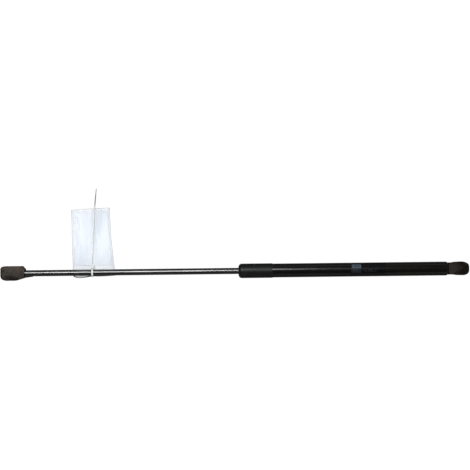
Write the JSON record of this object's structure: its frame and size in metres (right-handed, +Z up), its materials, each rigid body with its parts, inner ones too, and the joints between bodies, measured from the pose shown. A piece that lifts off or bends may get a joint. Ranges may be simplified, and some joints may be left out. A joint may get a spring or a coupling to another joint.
{
  "type": "gas strut stay",
  "caption": "Gas-filled lift strut that holds a window, shutter or hatch open, with a plastic ball socket and spring clip on each end; shown extended, with a blank stock tag tied to its rod.",
  "frame": {"origin": "centre of the ball in the tube end's socket", "axes": "+X along the strut towards the tube end's nose, so the rod end's ball is at -X; +Z up when the strut lies on a table with the mouth of the tube end's socket down (-Z); the mouth of the rod end's socket faces +Y"},
  "size_m": [0.6077, 0.1188, 0.0188],
  "materials": {
    "black_paint": "gloss black paint",
    "steel": "turned",
    "rubber": "moulded, black",
    "collar_plastic": "matt, very dark grey",
    "label_film": "dark printed film",
    "guide_alloy": "die cast",
    "bearing_bronze": "lined bearing strip",
    "ring_plastic": "smooth, off-white",
    "hard_chrome": "ground and hard chromed",
    "socket_plastic": "dark grey-brown, dusty",
    "spring_steel": "dull spring steel",
    "nylon": "natural nylon",
    "clear_film": "clear film",
    "card": "white card"
  },
  "bodies": {
    "tube": {"pressure_tube": "black_paint", "end_plug": "steel", "end_plug_seal": "rubber", "tube_collar": "collar_plastic", "type_label": "label_film", "front_washer": "steel", "rod_seal": "rubber", "backing_washer": "steel", "guide_bush": "guide_alloy", "guide_bearing": "bearing_bronze", "stop_ring": "ring_plastic", "tube_socket": "socket_plastic"},
    "piston_ring": {"piston_ring": "ring_plastic"},
    "rod": {"piston_rod": "hard_chrome", "piston_front_disc": "steel", "piston": "guide_alloy", "piston_back_disc": "steel", "rod_socket": "socket_plastic"},
    "tag": {"cable_tie": "nylon", "tag_pouch": "clear_film", "tag_card": "card"},
    "tube_clip": {"tube_socket_clip": "spring_steel"},
    "rod_clip": {"rod_socket_clip": "spring_steel"}
  },
  "joints": [
    {"name": "rod_slide", "type": "slide", "parent": "tube", "child": "piston_ring", "axis": [1, 0, 0], "range_m": [0, 0.21], "stiffness_N_per_m": 520, "springref_m": -0.77},
    {"name": "rod_turn", "type": "hinge", "parent": "piston_ring", "child": "rod", "pos_m": [0, 0, 0], "axis": [1, 0, 0], "continuous": true},
    {"name": "tag_slide", "type": "slide", "parent": "rod", "child": "tag", "axis": [-1, 0, 0], "range_m": [0, 0.056]},
    {"name": "tube_clip_slide", "type": "slide", "parent": "tube", "child": "tube_clip", "axis": [1, 0, 0], "range_m": [0, 0.005], "stiffness_N_per_m": 1000},
    {"name": "rod_clip_slide", "type": "slide", "parent": "rod", "child": "rod_clip", "axis": [-1, 0, 0], "range_m": [0, 0.005], "stiffness_N_per_m": 1000}
  ],
  "couplings": [
    {"joint": "tag_slide", "follows": "rod_slide", "ratio": 0.26667}
  ]
}
